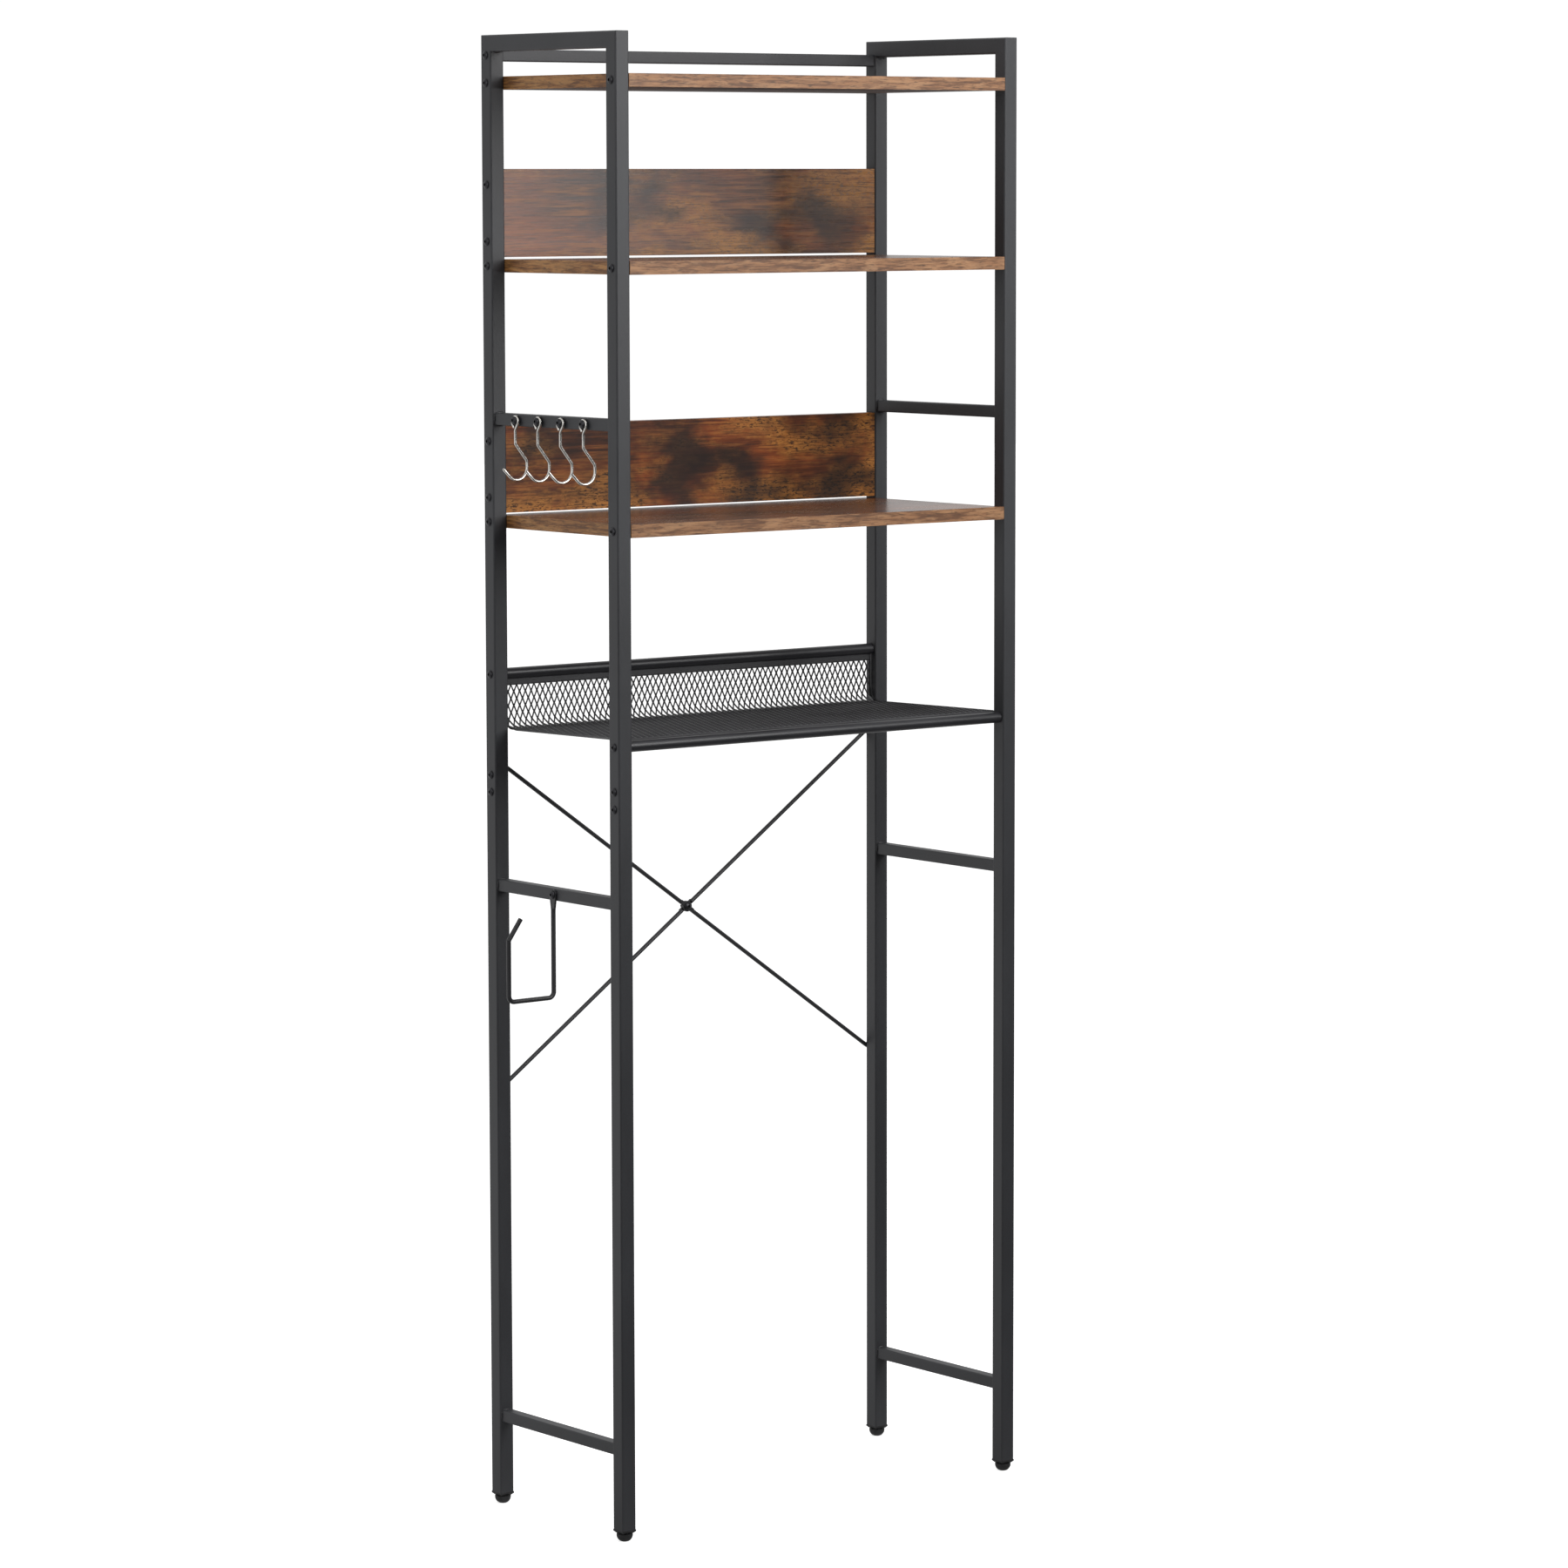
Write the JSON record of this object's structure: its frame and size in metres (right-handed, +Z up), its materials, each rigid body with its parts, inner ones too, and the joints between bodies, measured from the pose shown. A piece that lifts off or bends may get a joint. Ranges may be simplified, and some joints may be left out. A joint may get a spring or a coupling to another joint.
{
  "type": "over-the-toilet storage rack",
  "caption": "Tall free-standing square-tube rack that stands over a toilet, with wood-look shelves and backboards, a mesh basket, side hooks, a paper roll holder and a crossed rear brace.",
  "frame": {"origin": "centre of the rack's bounding box in plan, on the floor under the feet", "axes": "+X from the side with the hooks and roll holder to the other side, +Y from front to back, +Z up"},
  "size_m": [0.6542, 0.2694, 1.715],
  "materials": {
    "powder_coat": "satin charcoal powder coat on steel tube and rod",
    "board_laminate": "rustic brown wood-grain laminate on particle board",
    "basket_mesh": "satin black powder coat on expanded sheet",
    "black_fastener": "black zinc on button-head screws, washers and nut",
    "zinc_insert": "plain zinc plate",
    "hook_nickel": "bright nickel plate on bent wire",
    "foot_plastic": "moulded black plastic"
  },
  "bodies": {
    "rack": {"left_upper_front_post": "powder_coat", "left_upper_rear_post": "powder_coat", "left_top_bar": "powder_coat", "left_hook_rung": "powder_coat", "right_upper_front_post": "powder_coat", "right_upper_rear_post": "powder_coat", "right_top_bar": "powder_coat", "right_upper_rung": "powder_coat", "left_lower_front_post": "powder_coat", "left_lower_rear_post": "powder_coat", "left_lower_rung": "powder_coat", "left_bottom_rung": "powder_coat", "right_lower_front_post": "powder_coat", "right_lower_rear_post": "powder_coat", "right_lower_rung": "powder_coat", "right_bottom_rung": "powder_coat", "rear_top_rail": "powder_coat", "shelf_top": "board_laminate", "shelf_middle": "board_laminate", "shelf_bottom": "board_laminate", "backboard_upper": "board_laminate", "backboard_lower": "board_laminate", "basket_front_tube": "powder_coat", "basket_rear_tube": "powder_coat", "basket_mesh_panel": "basket_mesh", "brace_rod_falling": "powder_coat", "brace_rod_rising": "powder_coat", "brace_centre_screw": "black_fastener", "brace_centre_nut": "black_fastener", "left_front_connector": "zinc_insert", "left_rear_connector": "zinc_insert", "right_front_connector": "zinc_insert", "right_rear_connector": "zinc_insert", "left_front_plug": "foot_plastic", "left_rear_plug": "foot_plastic", "right_front_plug": "foot_plastic", "right_rear_plug": "foot_plastic", "hook_screws": "black_fastener", "hook_washers": "black_fastener", "paper_roll_holder": "powder_coat", "paper_holder_bolt": "black_fastener", "shelf_screws": "black_fastener", "backboard_screws": "black_fastener", "rail_screws": "black_fastener", "basket_screws": "black_fastener", "connector_screws": "black_fastener", "brace_screws": "black_fastener", "board_inserts": "zinc_insert", "rail_end_nuts": "zinc_insert", "basket_end_nuts": "zinc_insert", "rivet_nuts": "zinc_insert"},
    "hook_1": {"hook_1": "hook_nickel"},
    "hook_2": {"hook_2": "hook_nickel"},
    "hook_3": {"hook_3": "hook_nickel"},
    "hook_4": {"hook_4": "hook_nickel"},
    "left_front_foot": {"left_front_foot": "foot_plastic"},
    "left_rear_foot": {"left_rear_foot": "foot_plastic"},
    "right_front_foot": {"right_front_foot": "foot_plastic"},
    "right_rear_foot": {"right_rear_foot": "foot_plastic"}
  },
  "joints": [
    {"name": "hook_1_swing", "type": "hinge", "parent": "rack", "child": "hook_1", "pos_m": [-0.26301, -0.07075, 1.276], "axis": [1, 0, 0], "range_deg": [-15, 15]},
    {"name": "hook_2_swing", "type": "hinge", "parent": "rack", "child": "hook_2", "pos_m": [-0.26301, -0.02675, 1.276], "axis": [1, 0, 0], "range_deg": [-15, 15]},
    {"name": "hook_3_swing", "type": "hinge", "parent": "rack", "child": "hook_3", "pos_m": [-0.26301, 0.01725, 1.276], "axis": [1, 0, 0], "range_deg": [-15, 15]},
    {"name": "hook_4_swing", "type": "hinge", "parent": "rack", "child": "hook_4", "pos_m": [-0.26301, 0.06125, 1.276], "axis": [1, 0, 0], "range_deg": [-15, 15]},
    {"name": "left_front_foot_screw", "type": "slide", "parent": "rack", "child": "left_front_foot", "axis": [0, 0, -1], "range_m": [0, 0.01]},
    {"name": "left_rear_foot_screw", "type": "slide", "parent": "rack", "child": "left_rear_foot", "axis": [0, 0, -1], "range_m": [0, 0.01]},
    {"name": "right_front_foot_screw", "type": "slide", "parent": "rack", "child": "right_front_foot", "axis": [0, 0, -1], "range_m": [0, 0.01]},
    {"name": "right_rear_foot_screw", "type": "slide", "parent": "rack", "child": "right_rear_foot", "axis": [0, 0, -1], "range_m": [0, 0.01]}
  ]
}
